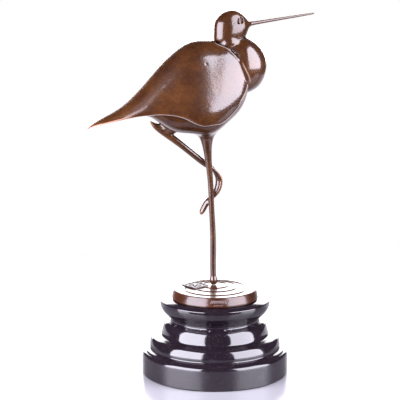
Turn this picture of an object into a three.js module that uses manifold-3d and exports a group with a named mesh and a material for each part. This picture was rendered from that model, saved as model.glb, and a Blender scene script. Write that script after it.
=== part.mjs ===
// A stylised long-billed shorebird in patinated bronze. It stands on one leg on a low round
// bronze disc with water rings, which rests on a turned plinth of black marble.
// Millimetres. +Z is up, the bird faces +X, and the origin is the middle of the plinth's underside.

import * as THREE from 'three';
import { mergeVertices } from 'three/addons/utils/BufferGeometryUtils.js';
import Module from 'manifold-3d';

const wasm = await Module();
wasm.setup();

// Driving sizes
const PLINTH_RADIUS = 72.5;
const PLINTH_HEIGHT = 75;
const DISC_RADIUS = 42.9;
const DISC_HEIGHT = 10;
const BIRD_Y = 12;
const BIRD_FOOT_X = -1.2;
const BIRD_TURN = 11;
const HEAD_TURN_X = 12.5;
const HEAD_TURN = 14;
const CONTACT_GAP = 0.3;

const DISC_BOTTOM = PLINTH_HEIGHT + CONTACT_GAP;
const DISC_TOP = DISC_BOTTOM + DISC_HEIGHT;

// Plinth outline from the underside up, as radius and height: each row is one smooth stretch
const PLINTH_OUTLINE = [
  [[PLINTH_RADIUS - 1, 0]],
  [[PLINTH_RADIUS, 1.2]],
  [[PLINTH_RADIUS, 20.6], [72.1, 22.4], [70.8, 23.6]],
  [[68.8, 24]],
  [[68.4, 25.4]],
  [[65, 25.8]],
  [[64.8, 27], [65.1, 29.4], [64.6, 32], [63.6, 34.6], [62.2, 36.8], [60.4, 38], [58, 38.2]],
  [[55.6, 38.6], [53.7, 40.1], [52.6, 42.4], [51.9, 45.6], [50.9, 48.8], [49.4, 51.4], [47.4, 53.2]],
  [[45.2, 53.6]],
  [[44.6, 54.6]],
  [[44.6, 57]],
  [[45.6, 57.4]],
  [[45.8, 58.6]],
  [[47.4, 59.4], [50, 61.6], [52.4, 64.6], [54, 68], [54.6, 71.4]],
  [[54.5, 74.2]],
  [[53.6, PLINTH_HEIGHT]],
];
const PLINTH_SIDES = 40;
const STEPS_PER_SPAN = 2;

// Disc rim from the underside up: how far it lies in from the full radius, and its height
const DISC_RIM = [
  [1.2, 0], [0.3, 0.7], [0, 2], [0.5, 4.2], [1.3, 6.6], [2.1, 8.8], [2.7, 9.7], [3.8, DISC_HEIGHT],
];
const DISC_SIDES = 48;

// Water rings on the disc: radius, and how far the ring's middle lies behind the disc's middle
const RIPPLES = [[13, 11], [22, 6], [31, 0]];
const RIPPLE_HALF_WIDTH = 1.6;
const RIPPLE_HEIGHT = 0.8;
const RIPPLE_ROOT = 0.6;
const RIPPLE_SIDES = 40;

// Small square plate let into the disc's top
const PLATE = { side: 18.8, thickness: 1.3, border: 1.4, relief: 0.5, boss: 3.6, middle: [-19.7, 7.4], turn: 42 };

// The bird is drawn side on. Its head and bill are turned about a line up the neck, and then the
// whole bird on its foot, so that the tail comes forward and the bill goes back.

// Trunk stations from the tail to the breast: back x, z, underside x, z, and half width. The
// fullness swells the rings at their corners, at the tail and at the breast, and the low fullness
// makes them wider below than above.
const TRUNK = {
  start: [-127.9, 245.8],
  stations: [
    [-118.5, 254, -118.5, 248.3, 8.5],
    [-105.4, 262, -104, 252.6, 15.5],
    [-89.2, 272.8, -87.6, 257, 21.5],
    [-69.7, 291.6, -67.9, 256.6, 26],
    [-48.3, 314.4, -46.7, 242.8, 29],
    [-24.4, 329.6, -26.4, 238, 30.5],
    [-1, 330.4, -6.3, 236.2, 29.2],
    [22.6, 329, 12, 248, 24.2],
    [37, 311, 26.6, 262.4, 16.5],
  ],
  end: [35.6, 286],
  fullness: [0.13, 0.05],
  lowFullness: 0.3,
};
const TRUNK_SIDES = 32;
const TRUNK_RINGS = 28;

// The breast and belly lie this far under the surface of the wings, start behind these rings, and
// end at this height under the crop. The wings lie over the neck by the same step.
const WING_STEP = 2;
const BELLY_FIRST_RING = 6;
const BREAST_TOP = 298;

// Wing edge seen from the side: the lower edge from the tail to the notch at the leg, the front
// lip from the notch up the breast and over the shoulder to the nape, and corners above the back
const WING_LOWER_EDGE = [
  [-131, 243], [-127.3, 245.8], [-118.7, 250.5], [-105.7, 254.7], [-90.2, 258.9], [-72.9, 261.7],
  [-61.5, 263], [-49.1, 262.4], [-37, 259.5], [-27.5, 254.6], [-19.5, 251.3], [-14.9, 250.5],
];
const WING_FRONT_LIP = [
  [-14.9, 250.5], [-6, 251.5], [1, 252.5], [8.5, 257.4], [16.3, 264.3], [22.4, 271.8], [27.5, 279.3],
  [30.4, 286.5], [30.6, 293.8], [27.3, 301.5], [22.8, 309.8], [18.8, 315.3], [13.4, 321], [6.2, 325.7],
  [-0.4, 328.7], [-2.4, 334],
];
const ABOVE_THE_BACK = [[-30, 350], [-140, 310]];

// Crop: side outline, where the form is fullest, and its half width there
const CROP = {
  widest: [27.7, 305],
  halfWidth: 20,
  outline: [
    [50.9, 305.6], [49.2, 314.7], [45.3, 321.7], [39.5, 327.6], [32, 332.2], [24.6, 332.4], [14.3, 325.6],
    [8.2, 311.8], [10.2, 293.7], [19.4, 281.9], [28.7, 277.9], [36.4, 279.9], [43.3, 284.7], [48.8, 293.9],
  ],
};

// Head stations from its underside to the crown: back x, z, front x, z, and half width
const HEAD = {
  start: [13, 326.5],
  stations: [
    [4, 327.6, 21.2, 328.2, 6.8],
    [-0.5, 329.6, 27.5, 330.8, 9.7],
    [-1.7, 333.5, 31.4, 334, 11.4],
    [-1.7, 340, 33.3, 341, 12],
    [-0.9, 347.5, 33.3, 347, 11.6],
    [3, 353.5, 30.1, 352.8, 9.5],
    [9.2, 357.7, 24.3, 357.2, 6.3],
  ],
  end: [17.5, 359.3],
  fullness: [0, 0],
  lowFullness: 0,
};

// Bill: distance along it from its root inside the head, and radius
const BILL_ROOT = [25.6, 343.9];
const BILL_TIP = [107.9, 351.8];
const BILL_RADII = [
  [0, 7.2], [4, 5], [8.4, 3.2], [12.8, 2.25], [19.5, 1.85], [37, 1.55], [57, 1.3], [75, 1], [82.6, 0.6],
];

// Each eye is an almond socket with a round ball in it: half length, half height and depth,
// and how far its middle lies from the bird's middle plane
const EYE = { x: 19.4, z: 349.6, socket: [4.4, 2.8, 1.2], socketAt: 11.6, ball: [2.2, 2.2, 1.9], ballAt: 9.6 };

// Neck and limbs as x, y from the bird's middle plane, z, half thickness in the side view,
// half width across, and the turn of the section about the limb's own line in degrees
const NECK = [
  [8, 0, 314, 7, 6], [11, 0, 320, 12, 11], [12.5, 0, 326, 12, 11.5], [14, 0, 331, 12, 11.5], [16, 0, 338, 8, 8],
];
const STANDING_LEG = [
  [-9.2, -3, 247.3, 12, 10], [-9, -3, 239.3, 8.6, 7.4], [-8.8, -3, 232.3, 6.1, 5.4],
  [-8, -2.6, 222.2, 4.2, 3.9], [-6.7, -2.3, 208.2, 3.2, 3.2], [-4.8, -1.7, 188.1, 2.75, 2.8],
  [-3.3, -0.8, 160.1, 2.75, 2.8], [-1.9, 0, 135, 2.9, 2.9], [-1.7, 0.6, 106, 3, 3],
  [-1.4, 0.9, 94.5, 3.2, 3.2], [-1.1, 1, 90.2, 3.9, 3.9], [-1, 1, 87.6, 3.3, 3.3],
  [-1, 1, DISC_TOP + CONTACT_GAP, 3, 3],
];
const FOLDED_THIGH = [
  [-59.2, 8.4, 247.9, 0.8, 0.8], [-53.2, 8, 245.3, 2.6, 2.6], [-47.3, 7.4, 243, 4.2, 4],
  [-41.3, 6.8, 243.4, 5.2, 5], [-37, 6.2, 249.2, 6, 6],
];
const FOLDED_SHANK = [
  [-63.6, 8.5, 251.6, 0.3, 0.3], [-60.4, 8.4, 248.4, 1.9, 1.6], [-55.2, 8.1, 244, 3.1, 2.4],
  [-45.3, 7.4, 236.9, 3.6, 2.7], [-35.4, 6.4, 229.4, 3.5, 2.7], [-26.8, 5.4, 222.3, 3.3, 2.7],
  [-18, 4.6, 215, 3.3, 2.6], [-8.9, 3.8, 207.7, 3.1, 2.5], [-1.8, 3.9, 203, 2.2, 2.4],
];
const FOLDED_FOOT = [
  [-6.4, 3.8, 205.6, 1.6, 1.6, 0], [-2.7, 3.9, 203.7, 2, 2.2, 15], [1.3, 4.6, 199.1, 1.7, 3.3, 35],
  [4.6, 5.4, 193.2, 1.7, 4, 45], [5.1, 5.6, 186.8, 1.7, 4.1, 45], [2.9, 5.3, 180.1, 1.7, 3.9, 42],
  [-2.1, 4.6, 174.1, 1.9, 3.4, 30], [-6.7, 4.3, 169.6, 2.3, 3.2, 30], [-9.9, 4.3, 164.2, 2.5, 3.2, 35],
  [-12.4, 4.4, 159.1, 2.1, 2.5, 40], [-13.6, 4.5, 156.3, 0.4, 0.6, 40],
];

const BRONZE = { color: 0x6b4427, metalness: 1, roughness: 0.3 };
const DISC_BRONZE = { color: 0x7a4520, metalness: 1, roughness: 0.28 };
const MARBLE = { color: 0x1d181b, metalness: 0, roughness: 0.15 };

const POLE = 1e-6;

function toManifold(geometry) {
  const bare = geometry.clone();
  bare.deleteAttribute('normal');
  bare.deleteAttribute('uv');
  const welded = mergeVertices(bare, 1e-4);
  const corners = Array.from(welded.index.array);
  const points = welded.attributes.position;
  const a = new THREE.Vector3();
  const b = new THREE.Vector3();
  const c = new THREE.Vector3();
  const kept = [];
  let volume = 0;
  for (let i = 0; i < corners.length; i += 3) {
    const [p, q, r] = corners.slice(i, i + 3);
    if (p === q || q === r || r === p) {
      continue;
    }
    kept.push([p, q, r]);
    a.fromBufferAttribute(points, p);
    b.fromBufferAttribute(points, q);
    c.fromBufferAttribute(points, r);
    volume += a.dot(b.cross(c)) / 6;
  }
  const facing = volume > 0 ? kept : kept.map(([p, q, r]) => [p, r, q]);
  const mesh = new wasm.Mesh({
    numProp: 3,
    vertProperties: new Float32Array(points.array),
    triVerts: new Uint32Array(facing.flat()),
  });
  return new wasm.Manifold(mesh);
}

function toGeometry(solid) {
  const mesh = solid.getMesh();
  const geometry = new THREE.BufferGeometry();
  geometry.setAttribute('position', new THREE.BufferAttribute(mesh.vertProperties, 3));
  geometry.setIndex(new THREE.BufferAttribute(mesh.triVerts, 1));
  geometry.computeVertexNormals();
  return geometry;
}

function named(name, geometry, look) {
  const mesh = new THREE.Mesh(geometry, new THREE.MeshStandardMaterial(look));
  mesh.name = name;
  return mesh;
}

function curveThrough(points, closed = false) {
  const places = points.map(([x, y, z = 0]) => new THREE.Vector3(x, y, z));
  return new THREE.CatmullRomCurve3(places, closed, 'catmullrom', 0.5);
}

const isPole = (along) => along < POLE || along > 1 - POLE;

// A closed solid from a sphere whose rings are moved to where place(along, turn) says
function shaped(around, rings, place) {
  const geometry = new THREE.SphereGeometry(1, around, rings);
  const position = geometry.attributes.position;
  const uv = geometry.attributes.uv;
  for (let i = 0; i < position.count; i += 1) {
    const along = Math.min(Math.max(1 - uv.getY(i), 0), 1);
    const turn = isPole(along) ? 0 : 2 * Math.PI * (uv.getX(i) % 1);
    position.setXYZ(i, ...place(along, turn));
  }
  return toManifold(geometry);
}

function turnedGeometry(profile, around) {
  const outline = profile.map(([radius, height]) => new THREE.Vector2(radius, height));
  return new THREE.LatheGeometry(outline, around).rotateX(Math.PI / 2);
}

// Hull: rings between two lines of the middle plane, which run into each other at both ends. An
// inset hull starts behind the first rings and opens from a point there.
function hull({ start, stations, end, fullness, lowFullness }, around, rings, inset = 0, firstRing = 0) {
  const top = stations.map(([x, z, , , width]) => [x, z, width]);
  const low = stations.map(([, , x, z, width]) => [x, z, -width]).reverse();
  const loop = curveThrough([[...start, 0], ...top, [...end, 0], ...low, [...start, 0]]);
  const last = stations.length + 1;
  const first = last * firstRing / rings;
  const onLoop = (station) => {
    const at = station / (2 * last);
    const point = loop.getPoint(at);
    const ahead = loop.getPoint(Math.min(at + 1e-4, 1));
    const behind = loop.getPoint(Math.max(at - 1e-4, 0));
    const inward = new THREE.Vector2(ahead.y - behind.y, behind.x - ahead.x).setLength(inset);
    return [point.x + inward.x, point.y + inward.y, Math.abs(point.z)];
  };
  return shaped(around, rings - firstRing, (along, turn) => {
    const station = first + (last - first) * along;
    const [topX, topZ, width] = onLoop(station);
    const [lowX, lowZ] = onLoop(2 * last - station);
    const opening = firstRing > 0 ? Math.min(1, Math.sqrt(2 * (station - first))) : 1;
    const swell = fullness[0] + (fullness[1] - fullness[0]) * station / last;
    const full = opening * (1 + swell * Math.sin(2 * turn) ** 2);
    const rise = full * Math.cos(turn) / 2;
    const across = full * Math.max(width - inset, 0) * Math.sin(turn) * (1 - lowFullness * Math.cos(turn));
    return [
      (topX + lowX) / 2 + (topX - lowX) * rise,
      BIRD_Y + (isPole(along) ? 0 : across),
      (topZ + lowZ) / 2 + (topZ - lowZ) * rise,
    ];
  });
}

// The side view of the wings, pushed through the trunk from side to side
function wingOutline() {
  const lowerEdge = curveThrough(WING_LOWER_EDGE).getPoints(30);
  const frontLip = curveThrough(WING_FRONT_LIP).getPoints(32).slice(1);
  const outline = [...lowerEdge, ...frontLip].map(({ x, y }) => [x, y]).concat(ABOVE_THE_BACK);
  const shape = new THREE.Shape(outline.map(([x, z]) => new THREE.Vector2(x, z)));
  const depth = 100;
  const geometry = new THREE.ExtrudeGeometry(shape, { depth, bevelEnabled: false, steps: 1 });
  geometry.rotateX(Math.PI / 2);
  geometry.translate(0, BIRD_Y + depth / 2, 0);
  return toManifold(geometry);
}

// A rounded form with a given side outline and a given half width, fullest at one place
function pillow({ widest, halfWidth, outline }, around, rings) {
  const loop = curveThrough(outline, true);
  return shaped(around, rings, (along, turn) => {
    const reach = Math.sin(Math.PI * along);
    const edge = loop.getPoint(turn / (2 * Math.PI));
    return [
      widest[0] + (edge.x - widest[0]) * reach,
      BIRD_Y + halfWidth * Math.cos(Math.PI * along),
      widest[1] + (edge.y - widest[1]) * reach,
    ];
  });
}

// A limb: elliptical rings that follow a line through the given places, closer at its ends
function limb(places, around, rings) {
  const line = curveThrough(places.map(([x, y, z]) => [x, y + BIRD_Y, z]));
  const section = curveThrough(places.map(([, , , thick, wide, turned = 0]) => [thick, wide, turned]));
  const crowding = 0.3;
  const thinnest = 0.2;
  return shaped(around, rings, (along, turn) => {
    const at = (1 - crowding) * along + crowding * (1 - Math.cos(Math.PI * along)) / 2;
    const point = line.getPoint(at);
    if (isPole(along)) {
      return point.toArray();
    }
    const { x: thick, y: wide, z: turned } = section.getPoint(at);
    const tangent = line.getTangent(at);
    const side = new THREE.Vector3(0, 1, 0).addScaledVector(tangent, -tangent.y).normalize();
    side.applyAxisAngle(tangent, THREE.MathUtils.degToRad(-turned));
    const up = new THREE.Vector3().crossVectors(side, tangent);
    point.addScaledVector(up, Math.max(thick, thinnest) * Math.cos(turn));
    point.addScaledVector(side, Math.max(wide, thinnest) * Math.sin(turn));
    return point.toArray();
  });
}

function bill() {
  const root = new THREE.Vector3(BILL_ROOT[0], BIRD_Y, BILL_ROOT[1]);
  const tip = new THREE.Vector3(BILL_TIP[0], BIRD_Y, BILL_TIP[1]);
  const length = root.distanceTo(tip);
  const profile = [[0, 0], ...BILL_RADII.map(([along, radius]) => [radius, along]), [0, length]];
  const outline = profile.map(([radius, along]) => new THREE.Vector2(radius, along));
  const geometry = new THREE.LatheGeometry(outline, 14);
  const direction = tip.clone().sub(root).normalize();
  geometry.applyQuaternion(new THREE.Quaternion().setFromUnitVectors(new THREE.Vector3(0, 1, 0), direction));
  geometry.translate(...root.toArray());
  return toManifold(geometry);
}

function eyeForm(y, [halfLength, halfHeight, depth]) {
  return shaped(16, 8, (along, turn) => {
    const reach = Math.sin(Math.PI * along);
    return [
      EYE.x + halfLength * reach * Math.cos(turn),
      y + depth * Math.cos(Math.PI * along),
      EYE.z + halfHeight * reach * Math.sin(turn),
    ];
  });
}

// Turns a solid about the vertical line through a place of the bird's middle plane
function turned(solid, x, degrees) {
  return solid.translate([-x, -BIRD_Y, 0]).rotate([0, 0, degrees]).translate([x, BIRD_Y, 0]);
}

function makeHead() {
  let head = hull(HEAD, 26, 14).add(bill());
  for (const side of [-1, 1]) {
    head = head.subtract(eyeForm(BIRD_Y + side * EYE.socketAt, EYE.socket));
    head = head.add(eyeForm(BIRD_Y + side * EYE.ballAt, EYE.ball));
  }
  return turned(head, HEAD_TURN_X, HEAD_TURN);
}

function makeBird() {
  const collar = limb(NECK.map(([x, y, z, thick, wide]) => [x, y, z, thick + WING_STEP, wide + WING_STEP]), 18, 9);
  const wings = hull(TRUNK, TRUNK_SIDES, TRUNK_RINGS).add(collar).intersect(wingOutline());
  const breast = hull(TRUNK, TRUNK_SIDES, TRUNK_RINGS, WING_STEP, BELLY_FIRST_RING)
    .trimByPlane([0, 0, -1], -BREAST_TOP);
  const bird = wings
    .add(breast)
    .add(limb(NECK, 18, 9))
    .add(pillow(CROP, 22, 12))
    .add(makeHead())
    .add(limb(STANDING_LEG, 12, 22))
    .add(limb(FOLDED_THIGH, 10, 7))
    .add(limb(FOLDED_SHANK, 10, 12))
    .add(limb(FOLDED_FOOT, 10, 18));
  return turned(bird, BIRD_FOOT_X, BIRD_TURN);
}

function makeDisc() {
  const rim = DISC_RIM.map(([inset, height]) => [DISC_RADIUS - inset, DISC_BOTTOM + height]);
  let disc = toManifold(turnedGeometry([[0, DISC_BOTTOM], ...rim, [0, DISC_TOP]], DISC_SIDES));
  for (const [radius, back] of RIPPLES) {
    const inner = radius - RIPPLE_HALF_WIDTH;
    const outer = radius + RIPPLE_HALF_WIDTH;
    const root = DISC_TOP - RIPPLE_ROOT;
    const section = [
      [inner, root], [outer, root], [outer, DISC_TOP], [radius, DISC_TOP + RIPPLE_HEIGHT],
      [inner, DISC_TOP], [inner, root],
    ];
    disc = disc.add(toManifold(turnedGeometry(section, RIPPLE_SIDES).translate(0, back, 0)));
  }
  return disc.subtract(plateBlock(PLATE.side + 2 * CONTACT_GAP, DISC_TOP, DISC_TOP + 2 * RIPPLE_HEIGHT));
}

// A square block turned and placed as the plate is, between two heights
function plateBlock(side, bottom, top) {
  const geometry = new THREE.BoxGeometry(side, side, top - bottom);
  geometry.rotateZ(THREE.MathUtils.degToRad(PLATE.turn));
  geometry.translate(...PLATE.middle, (top + bottom) / 2);
  return toManifold(geometry);
}

// The small plate on the disc: a raised border round a sunk field with a plain boss in it
function makePlate() {
  const bottom = DISC_TOP + CONTACT_GAP;
  const top = bottom + PLATE.thickness;
  const field = top - PLATE.relief;
  const boss = new THREE.SphereGeometry(1, 16, 8);
  boss.scale(PLATE.boss, PLATE.boss, PLATE.relief);
  boss.translate(...PLATE.middle, field);
  return plateBlock(PLATE.side, bottom, top)
    .subtract(plateBlock(PLATE.side - 2 * PLATE.border, field, top + PLATE.relief))
    .add(toManifold(boss));
}

function makePlinth() {
  const outline = PLINTH_OUTLINE.flatMap((stretch) => {
    if (stretch.length === 1) {
      return stretch;
    }
    return curveThrough(stretch).getPoints(STEPS_PER_SPAN * (stretch.length - 1)).map(({ x, y }) => [x, y]);
  });
  return turnedGeometry([[0, 0], ...outline, [0, PLINTH_HEIGHT]], PLINTH_SIDES);
}

const group = new THREE.Group();
group.add(named('marble_plinth', makePlinth(), MARBLE));
group.add(named('ripple_disc', toGeometry(makeDisc()), DISC_BRONZE));
group.add(named('seal_plate', toGeometry(makePlate()), DISC_BRONZE));
group.add(named('bird', toGeometry(makeBird()), BRONZE));

export default group;
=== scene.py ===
import math

import bpy
import numpy as np
import openvdb
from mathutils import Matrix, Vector


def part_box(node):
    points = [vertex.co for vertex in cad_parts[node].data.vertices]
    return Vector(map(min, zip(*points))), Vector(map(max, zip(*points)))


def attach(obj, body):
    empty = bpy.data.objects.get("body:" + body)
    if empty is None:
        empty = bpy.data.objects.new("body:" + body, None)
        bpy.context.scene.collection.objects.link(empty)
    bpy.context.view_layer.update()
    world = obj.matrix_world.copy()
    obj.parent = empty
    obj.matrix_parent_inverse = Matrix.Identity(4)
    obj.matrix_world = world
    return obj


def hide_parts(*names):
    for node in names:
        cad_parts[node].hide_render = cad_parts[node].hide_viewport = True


bl_info = {
    "name": "Bronze Shorebird",
    "version": (1, 0, 0),
    "blender": (4, 5, 0),
    "location": "3D View > Sidebar > Shorebird",
    "description": "Builds a patinated bronze shorebird on a bronze disc and a marble plinth",
    "category": "Add Mesh",
}

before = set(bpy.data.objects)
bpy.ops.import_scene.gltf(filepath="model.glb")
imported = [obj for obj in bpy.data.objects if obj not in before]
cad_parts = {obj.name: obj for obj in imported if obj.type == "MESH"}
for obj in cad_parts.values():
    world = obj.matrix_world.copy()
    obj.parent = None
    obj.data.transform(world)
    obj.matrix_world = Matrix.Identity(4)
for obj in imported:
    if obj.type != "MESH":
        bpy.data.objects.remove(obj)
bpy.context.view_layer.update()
MM = 0.001

# The forms below are in millimetres, as they were measured, and become metres in their meshes
DISC_LOW, DISC_HIGH = (np.array(corner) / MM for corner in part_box("ripple_disc"))
PLATE_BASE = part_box("seal_plate")[0][2] / MM
DISC_HEIGHT = 10
DISC_RADIUS = (DISC_HIGH[0] - DISC_LOW[0]) / 2

# The bird is measured side on in this plane, then turned on its foot so that the tail comes forward
BIRD_Y = 12
BIRD_FOOT_X = -1.2
# How far round a point its metal is felt for, to tell creases from edges
HOLLOW_REACH = 2.4

# Trunk stations from the tail to the breast: back x, z, underside x, z, and half width
TRUNK = {
    "start": (-127.9, 245.8),
    "stations": (
        (-118.5, 254, -118.5, 248.3, 8.5), (-105.4, 262, -104, 252.6, 15.5),
        (-89.2, 272.8, -87.6, 257, 21.5), (-69.7, 291.6, -67.9, 256.6, 26), (-48.3, 314.4, -46.7, 242.8, 29),
        (-24.4, 329.6, -26.4, 238, 30.5), (-1, 330.4, -6.3, 236.2, 29.2), (22.6, 329, 12, 248, 24),
        (37, 311, 26.6, 262.4, 13),
    ),
    "end": (35.6, 286),
    "fullness": (0.13, 0.05),
    "low_fullness": 0.3,
}
BREAST_TOP = 298
HEAD_BASE = 328
LIP_WIDTH = 2.2

# Wing edge seen from the side: the lower edge from the tail to the notch at the leg, the front
# lip from the notch up the breast and over the shoulder to the nape, and corners above the back
WING_LOWER_EDGE = (
    (-131, 243), (-127.3, 245.8), (-118.7, 250.5), (-105.7, 254.7), (-90.2, 258.9), (-72.9, 261.7),
    (-61.5, 263), (-49.1, 262.4), (-37, 259.5), (-27.5, 254.6), (-19.5, 251.3), (-14.9, 250.5),
)
WING_FRONT_LIP = (
    (-14.9, 250.5), (-6, 251.5), (1, 252.5), (8.5, 257.4), (16.3, 264.3), (22.4, 271.8), (27.5, 279.3),
    (30.4, 286.5), (30.6, 293.8), (27.3, 301.5), (22.8, 309.8), (18.8, 315.3), (13.4, 321), (6.2, 325.7),
    (-0.4, 328.7), (-2.4, 334),
)
ABOVE_THE_BACK = ((-30, 350), (-140, 310))

# Crop: where the form is fullest, its half width there, and its side outline
CROP = {
    "widest": (27.7, 305),
    "half_width": 20,
    "outline": (
        (50.9, 305.6), (49.2, 314.7), (45.3, 321.7), (39.5, 327.6), (32, 332.2), (24.6, 332.4),
        (14.3, 325.6), (8.2, 311.8), (10.2, 293.7), (19.4, 281.9), (28.7, 277.9), (36.4, 279.9),
        (43.3, 284.7), (48.8, 293.9),
    ),
}

# The head and the bill are turned further than the body, about this line up the neck
HEAD_TURN_X = 12.5

# Head stations from its underside to the crown: back x, z, front x, z, and half width
HEAD = {
    "start": (13, 326.5),
    "stations": (
        (4, 327.6, 21.2, 328.2, 6.8), (-0.5, 329.6, 27.5, 330.8, 9.7), (-1.7, 333.5, 31.4, 334, 11.4),
        (-1.7, 340, 33.3, 341, 12), (-0.9, 347.5, 33.3, 347, 11.6), (3, 353.5, 30.1, 352.8, 9.5),
        (9.2, 357.7, 24.3, 357.2, 6.3),
    ),
    "end": (17.5, 359.3),
    "fullness": (0, 0),
    "low_fullness": 0,
}

# Bill: distance along it from its root inside the head, and radius
BILL_ROOT = (25.6, 343.9)
BILL_TIP = (107.9, 351.8)
BILL_RADII = (
    (0, 7.2), (4, 5), (8.4, 3.2), (12.8, 2.25), (19.5, 1.85), (37, 1.55), (57, 1.3), (75, 1), (82.6, 0.6),
)

# Neck and limbs: x, y from the bird's middle plane, z, half thickness in the side view, half width
# across, and the turn of the section about the limb's own line in degrees
NECK = (
    (8, 0, 314, 7, 6, 0), (11, 0, 320, 12, 11, 0), (12.5, 0, 326, 12, 11.5, 0),
    (14, 0, 331, 12, 11.5, 0), (16, 0, 338, 8, 8, 0),
)
STANDING_LEG = (
    (-9.2, -3, 247.3, 12, 10, 0), (-9, -3, 239.3, 8.6, 7.4, 0), (-8.8, -3, 232.3, 6.1, 5.4, 0),
    (-8, -2.6, 222.2, 4.2, 3.9, 0), (-6.7, -2.3, 208.2, 3.2, 3.2, 0), (-4.8, -1.7, 188.1, 2.75, 2.8, 0),
    (-3.3, -0.8, 160.1, 2.75, 2.8, 0), (-1.9, 0, 135, 2.9, 2.9, 0), (-1.7, 0.6, 106, 3, 3, 0),
    (-1.4, 0.9, 94.5, 3.2, 3.2, 0), (-1.1, 1, 90.2, 3.9, 3.9, 0), (-1, 1, 87.6, 3.3, 3.3, 0),
    (-1, 1, 85.6, 3, 3, 0),
)
FOLDED_THIGH = (
    (-59.2, 8.4, 247.9, 0.8, 0.8, 0), (-53.2, 8, 245.3, 2.6, 2.6, 0), (-47.3, 7.4, 243, 4.2, 4, 0),
    (-41.3, 6.8, 243.4, 5.2, 5, 0), (-37, 6.2, 249.2, 6, 6, 0),
)
FOLDED_SHANK = (
    (-63.6, 8.5, 251.6, 0.3, 0.3, 0), (-60.4, 8.4, 248.4, 1.9, 1.6, 0), (-55.2, 8.1, 244, 3.1, 2.4, 0),
    (-45.3, 7.4, 236.9, 3.6, 2.7, 0), (-35.4, 6.4, 229.4, 3.5, 2.7, 0), (-26.8, 5.4, 222.3, 3.3, 2.7, 0),
    (-18, 4.6, 215, 3.3, 2.6, 0), (-8.9, 3.8, 207.7, 3.1, 2.5, 0), (-1.8, 3.9, 203, 2.2, 2.4, 0),
)
FOLDED_FOOT = (
    (-6.4, 3.8, 205.6, 1.6, 1.6, 0), (-2.7, 3.9, 203.7, 2, 2.2, 15), (1.3, 4.6, 199.1, 1.7, 3.3, 35),
    (4.6, 5.4, 193.2, 1.7, 4, 45), (5.1, 5.6, 186.8, 1.7, 4.1, 45), (2.9, 5.3, 180.1, 1.7, 3.9, 42),
    (-2.1, 4.6, 174.1, 1.9, 3.4, 30), (-6.7, 4.3, 169.6, 2.3, 3.2, 30), (-9.9, 4.3, 164.2, 2.5, 3.2, 35),
    (-12.4, 4.4, 159.1, 2.1, 2.5, 40), (-13.6, 4.5, 156.3, 0.4, 0.6, 40),
)

# Eye seen from the side: corners and depth of its lid crease, of its pupil and of its front corner
EYE_BASE = 340
EYE_EDGE = 0.7
EYE_CUTS = (
    (((12.4, 346.9), (20.3, 352.6), (20.9, 353.3), (12.6, 347.6)), 0.5),
    (((17.6, 347.4), (19.3, 351.8), (20.2, 351.2), (19.9, 346.9)), 1.7),
    (((22, 352.9), (24.3, 352.2), (24.6, 348.6), (22.6, 346.6), (22, 348.6)), 1.3),
)

# Small dents in the wing and the neck, from knocks and the mould: x, z, radius and depth
DENTS = ((-13.2, 310.4, 2, 0.12), (13.9, 321.6, 1.3, 0.7), (16.4, 318.5, 1, 0.4))


# Curves and closed skins
def smooth_line(points, closed=False):
    """A line through the points with no kink in its bend; returns a function of 0 to 1."""
    p = np.array(points, float)
    count = len(p)
    spans = count if closed else count - 1
    system = np.zeros((count, count))
    pull = np.zeros_like(p)
    for i in range(count):
        if not closed and i in (0, count - 1):
            system[i, i] = 1
            continue
        system[i, (i - 1) % count] += 1
        system[i, i] += 4
        system[i, (i + 1) % count] += 1
        pull[i] = 6 * (p[(i + 1) % count] - 2 * p[i] + p[(i - 1) % count])
    bend = np.linalg.solve(system, pull)

    def at(share):
        place = np.clip(share, 0, 1) * spans
        i = np.minimum(place.astype(int), spans - 1)
        j = (i + 1) % count
        b = (place - i)[..., None]
        a = 1 - b
        return a * p[i] + b * p[j] + (a**3 - a) * bend[i] / 6 + (b**3 - b) * bend[j] / 6

    return at


def skin(grid):
    """Points and quads of a closed body from rings of points, whose first and last ring are one point."""
    rings, around = grid.shape[:2]
    index = np.arange(rings * around).reshape(rings, around)
    after = np.roll(index, -1, axis=1)
    quads = np.stack([index[:-1], after[:-1], after[1:], index[1:]], -1)
    return grid.reshape(-1, 3), quads.reshape(-1, 4)


def lattice(around, rings):
    along = np.linspace(0, 1, rings + 1)[:, None]
    turn = np.linspace(0, 2 * math.pi, around, endpoint=False)[None, :]
    return np.broadcast_arrays(along, turn)


def hull_skin(start, stations, end, fullness, low_fullness):
    """Elliptical rings between two lines of the middle plane, which meet at the start and the end."""
    first = [(x, z, width) for x, z, _, _, width in stations]
    second = [(x, z, -width) for _, _, x, z, width in stations][::-1]
    loop = smooth_line([(*start, 0), *first, (*end, 0), *second, (*start, 0)])
    along, turn = lattice(300, 320)
    eased = along - np.sin(2 * math.pi * along) / (2 * math.pi) * 0.35
    top = loop(eased / 2)
    low = loop(1 - eased / 2)
    full = 1 + (fullness[0] + (fullness[1] - fullness[0]) * along) * np.sin(2 * turn) ** 2
    rise = full * np.cos(turn) / 2
    pear = 1 - low_fullness * np.cos(turn)
    grid = np.empty(top.shape)
    grid[..., 0] = (top[..., 0] + low[..., 0]) / 2 + (top[..., 0] - low[..., 0]) * rise
    grid[..., 1] = BIRD_Y + np.abs(top[..., 2]) * full * np.sin(turn) * pear
    grid[..., 2] = (top[..., 1] + low[..., 1]) / 2 + (top[..., 1] - low[..., 1]) * rise
    return skin(grid)


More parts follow.
